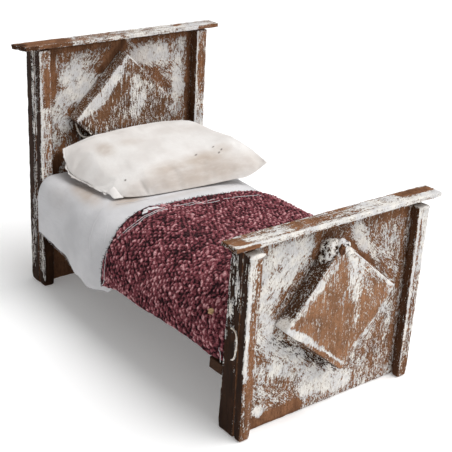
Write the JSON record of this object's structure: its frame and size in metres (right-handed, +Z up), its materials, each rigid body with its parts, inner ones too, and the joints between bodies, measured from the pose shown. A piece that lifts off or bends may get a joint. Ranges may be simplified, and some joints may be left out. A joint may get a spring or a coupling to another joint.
{
  "type": "miniature doll bed",
  "caption": "Miniature single bed for a doll's house: distressed painted wood end boards with flat caps and raised diamond blocks, mattress, sheet, blanket and a loose pillow.",
  "frame": {"origin": "middle of the bounding box's footprint, on the floor", "axes": "+X along the bed's width to the right seen from the foot, +Y from the foot to the head, +Z up"},
  "size_m": [0.1174, 0.1843, 0.1299],
  "materials": {
    "panel_paint": "brown stain under worn white paint",
    "stile_paint": "brown stain with white paint on the edges",
    "cap_paint": "brown stain under worn white paint",
    "diamond_paint": "brown stain with white brush strokes",
    "dark_wood": "dark stain, matte",
    "mattress_ticking": "matte cloth over padding",
    "sheet_cotton": "plain woven white cotton",
    "blanket_weave": "coarse burgundy weave",
    "pillow_cotton": "cream woven cotton"
  },
  "bodies": {
    "bed": {"footboard_panel": "panel_paint", "footboard_stile_left": "stile_paint", "footboard_stile_right": "stile_paint", "footboard_cap": "cap_paint", "footboard_diamond": "diamond_paint", "headboard_panel": "panel_paint", "headboard_stile_left": "stile_paint", "headboard_stile_right": "stile_paint", "headboard_cap": "cap_paint", "headboard_diamond": "diamond_paint", "base_board": "dark_wood", "foot_batten": "dark_wood", "head_batten": "dark_wood", "mattress": "mattress_ticking", "bed_sheet": "sheet_cotton", "blanket": "blanket_weave"},
    "pillow": {"pillow": "pillow_cotton"}
  },
  "joints": [
    {"name": "pillow_lift", "type": "slide", "parent": "bed", "child": "pillow", "axis": [0, 0, 1], "range_m": [0, 0.04]}
  ]
}
